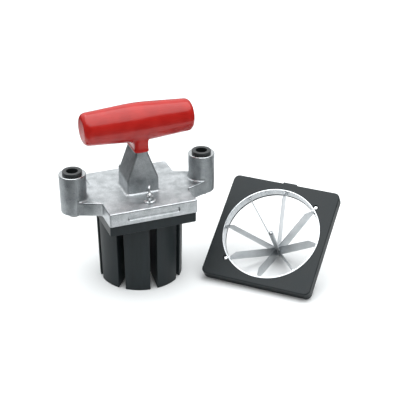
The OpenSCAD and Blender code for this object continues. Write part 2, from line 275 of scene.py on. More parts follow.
def set_at(piece, place):
    """Moves a piece to its place and puts the place into the mesh."""
    take(piece)
    piece.matrix_world = place
    bpy.context.view_layer.update()
    bpy.ops.object.transform_apply(location=True, rotation=True, scale=True)
    return piece


def copied(piece, name, place):
    """Makes a copy with its own mesh, moved by place."""
    take(piece)
    bpy.ops.object.duplicate(linked=False)
    return set_at(new_piece(name), place)


def one_piece(name, pieces):
    """Joins several closed shells into one object."""
    clear_bench()
    for piece in pieces:
        piece.select_set(True)
    bpy.context.view_layer.objects.active = pieces[0]
    bpy.ops.object.join()
    return new_piece(name)


def quarter(steps):
    """Cosine and sine at even steps through a quarter turn."""
    turns = [math.pi / 2 * i / steps for i in range(steps + 1)]
    return [(math.cos(turn), math.sin(turn)) for turn in turns]


def handed_over(piece, node, body, finish, angle=32):
    """Gives a finished piece its surface and its body, and hides the imported part that it stands for."""
    take(piece)
    if finish:
        piece.data.materials.clear()
        piece.data.materials.append(finish)
    bpy.ops.object.shade_smooth_by_angle(angle=math.radians(angle))
    bpy.ops.object.modifier_add(type="WEIGHTED_NORMAL")
    weighting = piece.modifiers[-1]
    weighting.keep_sharp, weighting.weight = True, 50
    bpy.ops.object.modifier_apply(modifier=weighting.name)
    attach(piece, body)
    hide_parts(node)


# ---- Materials ----

def linear(code):
    """Linear colour of an sRGB hex value."""
    parts = [int(code[i:i + 2], 16) / 255 for i in (1, 3, 5)]
    return [c / 12.92 if c <= 0.04045 else ((c + 0.055) / 1.055) ** 2.4 for c in parts] + [1]


def add(tree, kind, settings, links=()):
    """Adds a node, sets its options and sockets, and links its inputs to (socket, output) pairs."""
    made = tree.nodes.new(kind)
    for key, value in settings.items():
        if isinstance(key, str) and hasattr(made, key):
            setattr(made, key, value)
        else:
            made.inputs[key].default_value = value
    for socket, output in links:
        tree.links.new(output, made.inputs[socket])
    return made


def surface(name, shader):
    """A new material with its shader, and where its pattern is measured from."""
    material = bpy.data.materials.new(name)
    material.use_nodes = True
    tree = material.node_tree
    tree.nodes.clear()
    shade = add(tree, "ShaderNodeBsdfPrincipled", shader)
    add(tree, "ShaderNodeOutputMaterial", {}, [("Surface", shade.outputs[0])])
    return material, tree, shade, add(tree, "ShaderNodeTexCoord", {}).outputs["Object"]


def noise(tree, where, size, detail=2.0, roughness=0.5):
    """A noise pattern whose blots are that far apart."""
    settings = {"Scale": 1 / size, "Detail": detail, "Roughness": roughness}
    return add(tree, "ShaderNodeTexNoise", settings, [("Vector", where)]).outputs["Fac"]


def mixed(tree, share, one, other):
    """One pattern with a share of another in it."""
    return add(tree, "ShaderNodeMix", {"data_type": "FLOAT", "Factor": share},
               [("A", one), ("B", other)]).outputs["Result"]


def maths(tree, how, *parts):
    """The result of a sum on numbers and outputs."""
    numbers = {i: part for i, part in enumerate(parts) if isinstance(part, (int, float))}
    links = [(i, part) for i, part in enumerate(parts) if i not in numbers]
    return add(tree, "ShaderNodeMath", {"operation": how, **numbers}, links).outputs[0]


def spanned(tree, value, low, high, to_low=0.0, to_high=1.0, soft=False):
    """Carries a value from one span to another, straight or with soft ends."""
    settings = {"interpolation_type": "SMOOTHSTEP" if soft else "LINEAR", "From Min": low, "From Max": high,
                "To Min": to_low, "To Max": to_high}
    return add(tree, "ShaderNodeMapRange", settings, [("Value", value)]).outputs["Result"]


def toward(tree, where, way):
    """How far a point lies along a direction."""
    return add(tree, "ShaderNodeVectorMath", {"operation": "DOT_PRODUCT", 1: way},
               [(0, where)]).outputs["Value"]


def in_unit(tree, place):
    """A point in the blade assembly's own axes."""
    settings = {"vector_type": "TEXTURE", "Location": unit_face, "Rotation": (unit_tilt, 0, unit_turn)}
    return add(tree, "ShaderNodeMapping", settings, [("Vector", place)]).outputs["Vector"]


def drawn_out(tree, where, along):
    """A point whose pattern is drawn out along Z."""
    return add(tree, "ShaderNodeMapping", {"Scale": (1, 1, along)}, [("Vector", where)]).outputs["Vector"]


def mottled(tree, shade, amount, dark, light, low=0.35, high=0.65):
    """Colours the surface between two hex values by a pattern, and hands on the colour."""
    ramp = add(tree, "ShaderNodeValToRGB", {}, [("Fac", amount)])
    for stop, spot, code in zip(ramp.color_ramp.elements, (low, high), (dark, light)):
        stop.position, stop.color = spot, linear(code)
    tree.links.new(ramp.outputs["Color"], shade.inputs["Base Color"])
    return ramp.outputs["Color"]


def ranged(tree, shade, socket, amount, low, high):
    """Drives a number on the shader by the middle of a pattern's range, between two values."""
    tree.links.new(spanned(tree, amount, 0.3, 0.7, low, high), shade.inputs[socket])


def raised(tree, shade, heights):
    """Raises the surface by (pattern, depth) pairs, one over the other."""
    before = None
    for amount, depth in heights:
        links = [("Height", amount)] + ([("Normal", before)] if before else [])
        before = add(tree, "ShaderNodeBump", {"Strength": 1.0, "Distance": depth}, links).outputs["Normal"]
    tree.links.new(before, shade.inputs["Normal"])


# Die-cast aluminium, tumbled: light grey, with a fine matt grain and cloudy patches. The post and the
# bosses are painted darker than the plate: painted shade for sides that turn away from the light
cast_aluminium, tree, shade, place = surface("cast_aluminium", {"Metallic": 1.0})
clouds, grain = noise(tree, place, 11 * mm, 3.0, 0.6), noise(tree, place, 1.1 * mm, 2.0, 0.7)
bright = mottled(tree, shade, mixed(tree, 0.45, clouds, grain), "#A2A6A8", "#CCCFD1", 0.38, 0.62)
apart = add(tree, "ShaderNodeSeparateXYZ", {}, [("Vector", place)])
outward = maths(tree, "ABSOLUTE", maths(tree, "SUBTRACT", apart.outputs["X"], head_x))
at_boss = spanned(tree, outward, rod_half - boss_r - 4 * mm, rod_half - boss_r, to_high=0.85)
up_post = spanned(tree, apart.outputs["Z"], plate_top + 1 * mm, plate_top + 5 * mm, to_high=0.4)
# Painted shade: the colour is multiplied darker over the bosses and up the post
boss_post_shade = add(tree, "ShaderNodeMix", {"data_type": "RGBA", "blend_type": "MULTIPLY", 7: linear("#D0D2D3")},
           [("Factor", maths(tree, "MAXIMUM", at_boss, up_post)), (6, bright)])
tree.links.new(boss_post_shade.outputs[2], shade.inputs["Base Color"])
ranged(tree, shade, "Roughness", clouds, 0.36, 0.48)
raised(tree, shade, [(clouds, 0.08 * mm), (grain, 0.08 * mm)])

# The same aluminium where a cutter has faced it: brighter, with fine turning marks
faced_aluminium, tree, shade, place = surface("faced_aluminium", {"Metallic": 1.0})
marks = noise(tree, place, 0.7 * mm, 1.0)
mottled(tree, shade, marks, "#B6B9BB", "#CACDCE")
ranged(tree, shade, "Roughness", marks, 0.16, 0.28)
raised(tree, shade, [(marks, 0.01 * mm)])

# Plastisol dipped over the bar: glossy red skin, a little uneven where it ran
dipped_vinyl, tree, shade, place = surface(
    "dipped_vinyl", {"IOR": 1.53, "Specular IOR Level": 0.34, "Subsurface Weight": 0.04,
                     "Subsurface Scale": 1 * mm})
runs, peel = noise(tree, place, 14 * mm, 1.0, 0.4), noise(tree, place, 2.2 * mm, 1.0, 0.4)
mottled(tree, shade, runs, "#9C1712", "#A81C16")
ranged(tree, shade, "Roughness", runs, 0.17, 0.25)
raised(tree, shade, [(runs, 0.05 * mm), (peel, 0.004 * mm)])

# Nylon turned on a lathe: black, with a soft sheen
turned_nylon, tree, shade, place = surface("turned_nylon", {"IOR": 1.53})
fine = noise(tree, place, 0.9 * mm)
mottled(tree, shade, fine, "#1E2122", "#262A2B")
ranged(tree, shade, "Roughness", fine, 0.3, 0.42)
raised(tree, shade, [(fine, 0.008 * mm)])

# Moulded polypropylene of the finger block: charcoal, satin, with faint flow marks down the fingers
moulded_block, tree, shade, place = surface("moulded_polypropylene",
                                            {"IOR": 1.49, "Specular IOR Level": 0.25})
flow, fine = noise(tree, drawn_out(tree, place, 0.12), 6 * mm, 3.0), noise(tree, place, 0.8 * mm)
both = mixed(tree, 0.4, flow, fine)
mottled(tree, shade, both, "#171E20", "#20282B")
ranged(tree, shade, "Roughness", both, 0.38, 0.5)
raised(tree, shade, [(flow, 0.03 * mm), (fine, 0.012 * mm)])

# Glass-filled nylon of the blade frame: dark grey with an eroded mould texture
textured_frame, tree, shade, place = surface("textured_nylon", {"IOR": 1.53, "Specular IOR Level": 0.3})
pits, drift = noise(tree, place, 1.3 * mm, 3.0, 0.65), noise(tree, place, 18 * mm)
both = mixed(tree, 0.5, drift, pits)
mottled(tree, shade, both, "#0E1517", "#1B2225")
ranged(tree, shade, "Roughness", both, 0.45, 0.62)
raised(tree, shade, [(pits, 0.08 * mm)])

# Zinc plate on steel: bright, slightly blotched
zinc_plate, tree, shade, place = surface("zinc_plated_steel", {"Metallic": 1.0})
bloom = noise(tree, place, 2.5 * mm, 3.0)
mottled(tree, shade, bloom, "#B6BABC", "#CDD0D1")
ranged(tree, shade, "Roughness", bloom, 0.3, 0.42)
raised(tree, shade, [(bloom, 0.015 * mm)])

# Stainless strip rolled into the band: brushed, with streaks across its width
brushed_band, tree, shade, place = surface("brushed_stainless_band", {"Metallic": 1.0})
streaks = noise(tree, drawn_out(tree, in_unit(tree, place), 0.04), 2.4 * mm, 3.0, 0.7)
mottled(tree, shade, streaks, "#B2B6B9", "#D3D6D8")
ranged(tree, shade, "Roughness", streaks, 0.24, 0.4)
raised(tree, shade, [(streaks, 0.012 * mm)])

# Stainless blade stock, ground along the edges: satin grey with fine scratches
ground_blade, tree, shade, place = surface("ground_stainless_blade", {"Metallic": 1.0})
scratches, haze = noise(tree, in_unit(tree, place), 1.6 * mm, 3.0, 0.7), noise(tree, place, 16 * mm)
both = mixed(tree, 0.35, haze, scratches)
mottled(tree, shade, both, "#B3B7BA", "#CED1D3")
ranged(tree, shade, "Roughness", both, 0.28, 0.42)
raised(tree, shade, [(scratches, 0.01 * mm)])

# Polished dowel steel of the two band pins: bright, with faint lapping marks
polished_pin, tree, shade, place = surface("polished_dowel_steel", {"Metallic": 1.0})
lapping = noise(tree, place, 1.5 * mm)
mottled(tree, shade, lapping, "#D3D6D8", "#E4E6E7")
ranged(tree, shade, "Roughness", lapping, 0.14, 0.22)
raised(tree, shade, [(lapping, 0.006 * mm)])

# Drawn stainless bar of the hub post: mid grey, satin, with faint draw lines along it
drawn_dowel, tree, shade, place = surface("drawn_stainless_dowel", {"Metallic": 1.0})
lines = noise(tree, drawn_out(tree, in_unit(tree, place), 0.08), 0.9 * mm)
mottled(tree, shade, lines, "#A2A6A9", "#BBBFC1")
ranged(tree, shade, "Roughness", lines, 0.3, 0.4)
raised(tree, shade, [(lines, 0.01 * mm)])


# ---- Pusher head ----

def arm_outline(inset=0.0):
    """Corners of the plate with its arms, from above, drawn in by inset."""
    w, d = plate_w / 2 - inset, plate_d / 2 - inset
    root, end = arm_root_w / 2 - inset, boss_r - boss_draft - inset
    right = [(w, -d), (w, -root), (rod_half, -end), (rod_half, end), (w, root), (w, d)]
    return right + [(-x, -y) for x, y in right]


def upright(one, other, edge):
    """Whether an edge stands upright, or nearly so."""
    return abs(one.z - other.z) > 0.9 * edge.calc_length()


def boss_fillet(axis):
    """Ring with a hollow outer side round the foot of a boss, cut off where the arm ends."""
    foot_r = boss_r - boss_draft * boss_rise / (boss_rise + plate_t)
    sunk = plate_top - 0.6 * mm
    ring = [(foot_r - boss_foot_in, sunk), (foot_r + foot_fillet_r, sunk)]
    ring += [(foot_r + foot_fillet_r * (1 - s), plate_top + foot_fillet_r * (1 - c)) for c, s in quarter(7)]
    ring += [(foot_r - boss_foot_in, plate_top + foot_fillet_r), ring[0]]
    fillet = turned("boss_fillet", ring, axis, hollow=True)
    trim = lofted("boss_fillet_trim", [[(x, y, z) for x, y in arm_outline(0.12 * mm)]
                                       for z in (plate_top - past, plate_top + 2 * foot_fillet_r)])
    return combined(fillet, trim, "INTERSECT")


def cast_boss(axis):
    """Tapered guide boss with round ends."""
    low_r, low, top = boss_r - boss_draft, boss_low_round, boss_top_round
    profile = [(low_r - low * (1 - s), plate_z + low * (1 - c)) for c, s in quarter(4)]
    profile += [(boss_r - top * (1 - c), boss_top - top * (1 - s)) for c, s in quarter(4)]
    return turned("boss", profile, axis)


def cast_post():
    """Tapered post and stem, with a fillet at the foot."""
    levels = [(post_w, post_d, plate_top - post_sunk), (post_w, post_d, plate_top + post_foot_h),
              (stem_w, stem_d, plate_top + stem_rise), (stem_w, stem_d, grip_z)]
    post = lofted("post", [[(sx * w / 2, sy * d / 2, z) for sx, sy in ((1, -1), (1, 1), (-1, 1), (-1, -1))]
                           for w, d, z in levels])
    round_edges(post, lambda a, b, e: min(a.z, b.z) < grip_z - 1 * mm and max(a.z, b.z) > plate_top,
                post_edge_r, 5)
    rings = [(post_w + 2 * foot_fillet_r, post_d + 2 * foot_fillet_r, plate_top - 0.8 * mm)]
    rings += [(post_w + 2 * foot_fillet_r * (1 - s), post_d + 2 * foot_fillet_r * (1 - s),
               plate_top + foot_fillet_r * (1 - c)) for c, s in quarter(7)]
    return combined(post, stacked("post_foot", rings, post_foot_corner_r, steps=6))


def groove_cutter(side):
    """Cuts the drafted groove into the front or back face of the plate."""
    inner_len, inner_h = groove_len - groove_draft, groove_h - groove_draft
    mouth_len, mouth_h = groove_len + groove_mouth, groove_h + groove_mouth
    levels = [(inner_len, inner_h, -groove_depth), (groove_len, groove_h, -groove_lip),
              (mouth_len, mouth_h, 0), (mouth_len, mouth_h, past)]
    cutter = stacked("groove_cutter", levels, inner_h / 2 - hair, steps=10)
    face = Matrix.Translation((0, side * plate_d / 2, plate_z + plate_t / 2))
    return set_at(cutter, face @ Matrix.Rotation(math.radians(-90 * side), 4, "X"))


def cast_head_body():
    """The plate, its bosses and the post, as one casting with soft edges."""
    past_arm, short_of_boss = (plate_d + arm_root_w) / 4, (plate_w / 2 + rod_half) / 2
    body = lofted("cast_head_body", [[(x, y, z) for x, y in arm_outline()] for z in (plate_z, plate_top)])
    round_edges(body, lambda a, b, e: upright(a, b, e) and abs(a.y) > past_arm, plate_corner_r, 4)
    round_edges(body, lambda a, b, e: upright(a, b, e) and abs(a.x) < short_of_boss
                and abs(abs(a.y) - arm_root_w / 2) < 0.5 * mm, arm_root_r, 4)
    round_edges(body, lambda a, b, e: min(a.z, b.z) > plate_top - hair, plate_top_round, 4)
    round_edges(body, lambda a, b, e: max(a.z, b.z) < plate_z + hair, plate_low_round, 3)
    for side in (-1, 1):
        axis = (side * rod_half, 0)
        fillet = boss_fillet(axis)
        combined(body, cast_boss(axis))
        combined(body, fillet)
    combined(body, cast_post())

    stud_hole_r = stud_r + stud_hole_play
    for side in (-1, 1):
        combined(body, turned("bore", [(sleeve_r, plate_z - past), (sleeve_r, boss_top + past)],
                              (side * rod_half, 0), 64), "DIFFERENCE")
        combined(body, turned("stud_hole", [(stud_hole_r, plate_z - past), (stud_hole_r, plate_top + past)],
                              (0, side * stud_offset), 32), "DIFFERENCE")
        combined(body, groove_cutter(side), "DIFFERENCE")
    neat(body)
    body.data.materials.clear()
    body.data.materials.append(cast_aluminium)
    body.data.materials.append(faced_aluminium)
    for face in body.data.polygons:
        faced = face.center.z > boss_top - boss_top_round - 0.05 * mm and abs(face.center.x) > plate_w / 2
        face.material_index = int(faced)
    return set_at(body, to_head)


def grip_profile():
    """Rings of the bar along its length: flat ends with a round edge, a taper and a level middle."""
    half = grip_len / 2
    slope = math.atan((grip_mid_r - grip_end_r) / (half - grip_flat / 2))
    edge_x = half - grip_edge_r
    line_r = grip_mid_r - (edge_x - grip_flat / 2) * math.tan(slope)
    edge_c = line_r - grip_edge_r / math.cos(slope)
    steps = 9
    left = [(edge_c * 0.5, -half), (edge_c * 0.92, -half)]
    for i in range(steps + 1):
        a = (math.pi / 2 - slope) * i / steps
        left.append((edge_c + grip_edge_r * math.sin(a), -edge_x - grip_edge_r * math.cos(a)))
    left += [(line_r + (edge_x - x) * math.tan(slope), -x) for x in (44 * mm, 30 * mm, 18 * mm, 12 * mm)]
    left += [(grip_mid_r - 0.12 * mm, -grip_flat / 2), (grip_mid_r, -3 * mm)]
    return left + [(r, -x) for r, x in reversed(left)]


def dipped_grip():
    """Bar and collar flowing into each other, as the dipped skin does."""
    lengthwise = Matrix.Translation((0, 0, grip_z)) @ Matrix.Rotation(math.radians(90), 4, "Y")
    bar = set_at(turned("bar", grip_profile(), sides=160), lengthwise)
    guide = copied(bar, "bar_guide", Matrix.Identity(4))
    w, d = stem_w + 2 * coat_t, stem_d + 2 * coat_t
    low = plate_top + collar_rise
    levels = [(w + swell * mm, d + swell * mm, low + up * mm) for swell, up in collar_swell]
    grip = combined(bar, stacked("collar", levels + [(w, d, grip_z)], collar_corner_r, steps=6))
    take(grip)
    grip.data.remesh_voxel_size = grip_voxel
    bpy.ops.object.voxel_remesh()

    # Well away from the neck the skin keeps to the bar
    blend_reach, blend_drop = 5.5 * mm, 7 * mm
    outside = []
    for corner in grip.data.vertices:
        x, y, z = corner.co
        from_neck = math.hypot(max(abs(x) - w / 2, 0), max(abs(y) - d / 2, 0))
        if from_neck > blend_reach or z > grip_z - blend_drop:
            outside.append(corner.index)
    on_bar = grip.vertex_groups.new(name="bar")
    on_bar.add(outside, 1.0, "REPLACE")

    # Round the neck it is smoothed until it flows
    flow_x, flow_y, flow_drop, flow_under = 5 * mm, 4 * mm, 8 * mm, 4.5 * mm
    open_up(grip, "DESELECT")
    shape = bmesh.from_edit_mesh(grip.data)
    for corner in shape.verts:
        x, y, z = corner.co
        under = grip_z - math.sqrt(max(grip_mid_r ** 2 - y ** 2, 0))
        near = abs(y) < d / 2 + flow_y and max(abs(x) - w / 2, 0) < flow_x and z < grip_z - flow_drop
        corner.select_set(near and z > under - flow_under)
    shape.select_flush(True)
    bmesh.update_edit_mesh(grip.data)
    bpy.ops.mesh.vertices_smooth(factor=0.5, repeat=60)
    bpy.ops.mesh.select_all(action="SELECT")
    bpy.ops.mesh.vertices_smooth(factor=0.5, repeat=6)
    bpy.ops.object.mode_set(mode="OBJECT")
    bpy.ops.object.modifier_add(type="SHRINKWRAP")
    wrap = grip.modifiers[-1]
    wrap.target, wrap.vertex_group, wrap.wrap_method = guide, "bar", "NEAREST_SURFACEPOINT"
    bpy.ops.object.modifier_apply(modifier=wrap.name)
    bpy.data.objects.remove(guide)
    grip.vertex_groups.clear()
    return set_at(new_piece("dipped_grip"), to_head)


def flanged_bushing(name, side):
    """Turned sleeve with a flange on the boss and a tail under the plate."""
    low, high = plate_z - bushing_tail, boss_top + bushing_flange_t
    edge = 0.7 * mm
    profile = [(sleeve_in_r, low + 0.5 * mm), (sleeve_in_r + 0.5 * mm, low), (sleeve_r - 0.5 * mm, low),
               (sleeve_r, low + 0.5 * mm), (sleeve_r, boss_top), (bushing_flange_r - 0.3 * mm, boss_top),
               (bushing_flange_r, boss_top + 0.3 * mm)]
    profile += [(bushing_flange_r - edge * (1 - c), high - edge * (1 - s)) for c, s in quarter(4)]
    profile += [(sleeve_in_r + 0.9 * mm, high), (sleeve_in_r + 0.25 * mm, high - 0.35 * mm),
                (sleeve_in_r, high - 1 * mm), (sleeve_in_r, low + 0.5 * mm)]
    return set_at(turned(name, profile, (side * rod_half, 0), hollow=True), to_head)


def finger():
    """One wedge finger along +X, with round outer edges and a foot that rises towards the core."""
    sides = 128
    piece = turned("finger", [(finger_low_r, 0), (finger_top_r, finger_h + 0.6 * mm)], sides=sides)
    half = math.pi / finger_count
    for turn in (-1, 1):
        normal = (-math.sin(turn * half) * turn, math.cos(turn * half) * turn, 0)
        wall = (-normal[0] * slot_w / 2, -normal[1] * slot_w / 2, 0)
        open_up(piece)
        bpy.ops.mesh.bisect(plane_co=wall, plane_no=normal, use_fill=True, clear_outer=True)
        close_up(piece)
    open_up(piece)
    bpy.ops.mesh.bisect(plane_co=(finger_core_r * math.cos(half / 3), 0, 0), plane_no=(-1, 0, 0),
                        use_fill=True, clear_outer=True)
    close_up(piece)
    rise_r = finger_low_r - 0.4 * mm
    cone = turned("foot_cone", [(rise_r + foot_cone_reach, -foot_cone_reach * math.tan(finger_rise)),
                                (hair, rise_r * math.tan(finger_rise))], sides=sides)
    combined(piece, cone, "DIFFERENCE")
    open_up(piece)
    bpy.ops.mesh.dissolve_limited(angle_limit=math.radians(0.6))
    close_up(piece)

    def sharp(edge):
        return edge.calc_face_angle(0) > math.radians(40)

    def outer_corner(a, b, e):
        return upright(a, b, e) and sharp(e) and a.x > 30 * mm

    def foot_edge(a, b, e):
        return not upright(a, b, e) and sharp(e) and max(a.z, b.z) < 20 * mm
    round_edges(piece, outer_corner, finger_side_r, 4)
    round_edges(piece, foot_edge, finger_foot_r, 3)
    return piece


def moulded_block_piece():
    """Flange with eight fingers below it, as one moulding."""
    w, d = plate_w - 2 * flange_inset_w, plate_d - 2 * flange_inset_d
    soft = 0.8 * mm
    levels = [(2 * soft * (1 - s), finger_h + soft * (1 - c)) for c, s in quarter(3)]
    levels += [(2 * soft * (1 - c), plate_z - soft * (1 - s)) for c, s in quarter(3)]
    flange = stacked("flange", [(w - less, d - less, z) for less, z in levels], flange_corner_r, steps=5)
    seat_r = stud_r + stud_seat_play
    for side in (-1, 1):
        combined(flange, turned("stud_seat", [(seat_r, plate_z - stud_set), (seat_r, plate_z + past)],
                                (0, side * stud_offset), 32), "DIFFERENCE")
    first = finger()
    turns = [math.pi * 2 * i / finger_count + math.pi / finger_count for i in range(finger_count)]
    fingers = [copied(first, "finger", Matrix.Rotation(turn, 4, "Z")) for turn in turns]
    bpy.data.objects.remove(first)
    return set_at(one_piece("moulded_finger_block", [flange] + fingers), to_head)


def threaded_stud(name, side):
    """Stud with a rolled thread and a chamfered tip."""
    low = plate_z - stud_set
    high = plate_top + nut_gap + nut_hub_h + stud_tip
    profile = [(stud_r - 0.6 * mm, low), (stud_r, low + 0.6 * mm)]
    z = low + 1.2 * mm
    while z < high - 1.3 * mm:
        profile += [(stud_r, z), (stud_r - thread_depth, z + thread_pitch / 2)]
        z += thread_pitch
    profile += [(stud_r, high - 0.7 * mm), (stud_r - 0.7 * mm, high)]
    return set_at(turned(name, profile, (0, side * stud_offset), 40), to_head)


def wing_nut_piece():
    """Forged wing nut at the origin: base flange, hub and two ears blended together."""
    profile = [(nut_base_r - 0.3 * mm, 0), (nut_base_r, 0.3 * mm), (nut_base_r, nut_base_t - 0.4 * mm),
               (nut_base_r - 0.5 * mm, nut_base_t), (nut_hub_r, nut_base_t + 0.4 * mm),
               (nut_hub_top_r, nut_hub_h - 0.4 * mm), (nut_hub_top_r - 0.4 * mm, nut_hub_h)]
    nut = turned("nut_hub", profile, sides=64)
    lobe_x, lobe_z = wing_span / 2 - wing_lobe_r, wing_h - wing_lobe_r
    half_t = wing_t * 0.43
    for side in (-1, 1):
        web = [(0, nut_base_t / 2), (side * nut_base_r * 0.7, nut_base_t),
               (side * (lobe_x + wing_lobe_r), lobe_z),
               (side * (lobe_x - wing_lobe_r * 0.8), lobe_z + 1 * mm),
               (side * nut_hub_top_r / 2, nut_hub_h), (0, nut_hub_h - 0.3 * mm)]
        ear = lofted("ear", [[(x, y, z) for x, z in web] for y in (-half_t, half_t)])
        rim = [(wing_lobe_r - 0.5 * mm, half_t + 0.15 * mm), (wing_lobe_r, half_t - 0.35 * mm)]
        lobe = turned("lobe", [(r, -z) for r, z in rim] + rim[::-1], sides=48)
        lobe_spot = Matrix.Translation((side * lobe_x, 0, lobe_z))
        set_at(lobe, lobe_spot @ Matrix.Rotation(math.radians(90), 4, "X"))
        combined(nut, ear)
        combined(nut, lobe)
    take(nut)
    nut.data.remesh_voxel_size = nut_voxel
    bpy.ops.object.voxel_remesh()
    open_up(nut)
    bpy.ops.mesh.vertices_smooth(factor=0.5, repeat=8)
    close_up(nut)
    bore_r = stud_r + nut_play
    combined(nut, turned("nut_bore", [(bore_r, -1 * mm), (bore_r, wing_h + 1 * mm)], sides=48), "DIFFERENCE")
    return neat(nut)


# ---- Blade assembly ----

def blade_frame_piece():
    """Square frame with a round hole, a lip behind the band and two pin notches."""
    front, back = 1.3 * mm, 0.6 * mm
    levels = [(frame_side - 2 * back * (1 - s), -frame_t + back * (1 - c)) for c, s in quarter(4)]
    levels += [(frame_side - 2 * front * (1 - c), -front * (1 - s)) for c, s in quarter(5)]
    body = stacked("blade_frame_body", [(width, width, z) for width, z in levels], frame_corner_r, steps=9)
    tab_sunk = 2 * mm
    tab_d = 2 * (tab_out + tab_sunk)
    tab = stacked("tab", [(tab_len, tab_d, -tab_h), (tab_len, tab_d, -0.9 * mm),
                          (tab_len - 3 * mm, tab_d - 1.4 * mm, -0.2 * mm)],
                  0.5 * mm, (tab_shift, frame_side / 2 - tab_sunk), steps=2)
    combined(body, tab)
    rim = 0.45 * mm
    hole = turned("hole", [(hole_r - lip_in, -frame_t - past), (hole_r - lip_in, -band_h), (hole_r, -band_h),
                           (hole_r, -rim), (hole_r + rim, 0), (hole_r + rim, past)], sides=160)
    combined(body, hole, "DIFFERENCE")
    for turn in (1, -1):
        profile = [(pin_r + pin_play, -pin_sink - pin_len), (pin_r + pin_play, -notch_depth),
                   (notch_r - 0.3 * mm, -notch_depth), (notch_r, -notch_depth + 0.4 * mm),
                   (notch_r, -0.3 * mm), (notch_r + 0.3 * mm, 0), (notch_r + 0.3 * mm, 1 * mm)]
        notch = turned("notch", profile, (turn * pin_out, turn * pin_out), 40)
        combined(body, notch, "DIFFERENCE")
    return set_at(body, to_unit)


def blade_band_piece():
    """Rolled strip with softened edges, pressed into the hole."""
    soft = 0.25 * mm
    profile = [(band_in_r, -band_h + soft), (band_in_r + soft, -band_h), (hole_r - soft, -band_h),
               (hole_r, -band_h + soft), (hole_r, -soft), (hole_r - soft, 0), (band_in_r + soft, 0),
               (band_in_r, -soft), (band_in_r, -band_h + soft)]
    return set_at(turned("rolled_band", profile, sides=192, hollow=True), to_unit)


def half_blade(name, i):
    """Half blade number i: ground cutting edge, chamfered outer end and a bent tab on the band."""
    inner, outer = post_r - blade_seat, blade_end_r - 0.1 * mm
    ground, half_edge, half_t = 1.6 * mm, 0.06 * mm, blade_t / 2
    edge = [(inner, -hub_front), (crest_r, -0.02 * mm), (outer, -blade_outer_front),
            (outer, -blade_outer_back), (inner, -hub_back)]
    stock = [(inner, -hub_front - ground * 1.3), (crest_r + 0.1 * mm, -ground),
             (outer, -blade_outer_front - ground), (outer, -blade_outer_back), (inner, -hub_back)]
    blade = lofted(name, [[(x, -half_t, z) for x, z in stock], [(x, -half_edge, z) for x, z in edge],
                          [(x, half_edge, z) for x, z in edge], [(x, half_t, z) for x, z in stock]])

    # The tab leaves the blade, turns through a right angle and then follows the band's wall
    bend_r, bend_steps, wall_steps = 1.1 * mm, 5, 3
    mid_r, wall_r = bend_r - blade_tab_t / 2, band_in_r - 0.05 * mm
    start = wall_r - bend_r - 0.2 * mm
    rings = []
    for step in range(bend_steps + wall_steps + 1):
        turn = min(step, bend_steps) / bend_steps * math.pi / 2
        along = max(step - bend_steps, 0) / wall_steps * (blade_tab_len - bend_r)
        rooted = 0.4 * mm if step == 0 else 0
        middle = Vector((start + mid_r * math.sin(turn) - rooted, mid_r * (1 - math.cos(turn)) + along, 0))
        out = Vector((math.sin(turn), -math.cos(turn), 0)) * blade_tab_t / 2
        if step >= bend_steps:
            middle.x += wall_r - math.hypot((middle + out).x, (middle + out).y) - 0.02 * mm
        soft = 0.3 * mm if step == bend_steps + wall_steps else 0
        front, back = Vector((0, 0, -blade_tab_front - soft)), Vector((0, 0, -blade_tab_back + soft))
        rings.append([tuple(middle + out + front), tuple(middle - out + front),
                      tuple(middle - out + back), tuple(middle + out + back)])
    tab = lofted("bent_tab", rings)
    round_edges(tab, lambda a, b, e: upright(a, b, e) and a.y > blade_tab_len - 0.6 * mm, 0.2 * mm, 2)
    blade = one_piece(name, [blade, tab])
    flip = Matrix.Scale(-1, 4, (0, 1, 0)) if i < blade_count / 2 else Matrix.Identity(4)
    set_at(blade, Matrix.Rotation(2 * math.pi * i / blade_count, 4, "Z") @ flip)
    open_up(blade)
    close_up(blade)
    return set_at(blade, to_unit)


def hub_post_piece():
    """Drawn bar on the ring's axis, with both ends turned to a blunt point."""
    soft = 0.15 * mm
    profile = [(hub_tip_r * 0.6, -apex_d), (hub_tip_r, -apex_d + soft), (post_r - soft, -apex_d + hub_tip_h),
               (post_r, -apex_d + hub_tip_h + 2 * soft), (post_r, -hub_tip_h - 2 * soft),
               (post_r - soft, -hub_tip_h), (hub_tip_r, -soft), (hub_tip_r * 0.6, 0)]
    return set_at(turned("hub_dowel", profile, sides=48), to_unit)


def band_pin_piece(name, turn):
    """Dowel pin with a domed head, in its notch on the band."""
    dome = 0.8 * mm
    profile = [(pin_r - 0.3 * mm, -pin_sink - pin_len), (pin_r, -pin_sink - pin_len + 0.3 * mm)]
    profile += [(pin_r * (0.55 + 0.45 * c), -pin_sink - dome * (1 - s)) for c, s in quarter(5)]
    return set_at(turned(name, profile, (turn * pin_out, turn * pin_out), 48), to_unit)


head, unit = "pusher_head", "blade_unit"
handed_over(cast_head_body(), "pusher_casting", head, None)
handed_over(dipped_grip(), "handle_grip", head, dipped_vinyl, 60)
for end, side in (("left", -1), ("right", 1)):
    handed_over(flanged_bushing(f"turned_bushing_{end}", side), f"guide_bushing_{end}", head,
                turned_nylon)
handed_over(moulded_block_piece(), "pusher_block", head, moulded_block)
for end, side in (("front", -1), ("back", 1)):
    handed_over(threaded_stud(f"threaded_stud_{end}", side), f"stud_{end}", head, zinc_plate)
nut = wing_nut_piece()
for end, side, turn in (("front", -1, wing_front_turn), ("back", 1, wing_back_turn)):
    seat = to_head @ Matrix.Translation((0, side * stud_offset, plate_top + nut_gap))
    turned_seat = seat @ Matrix.Rotation(turn, 4, "Z")
    handed_over(copied(nut, f"forged_wing_nut_{end}", turned_seat), f"wing_nut_{end}", f"wing_nut_{end}",
                zinc_plate, 40)
bpy.data.objects.remove(nut)

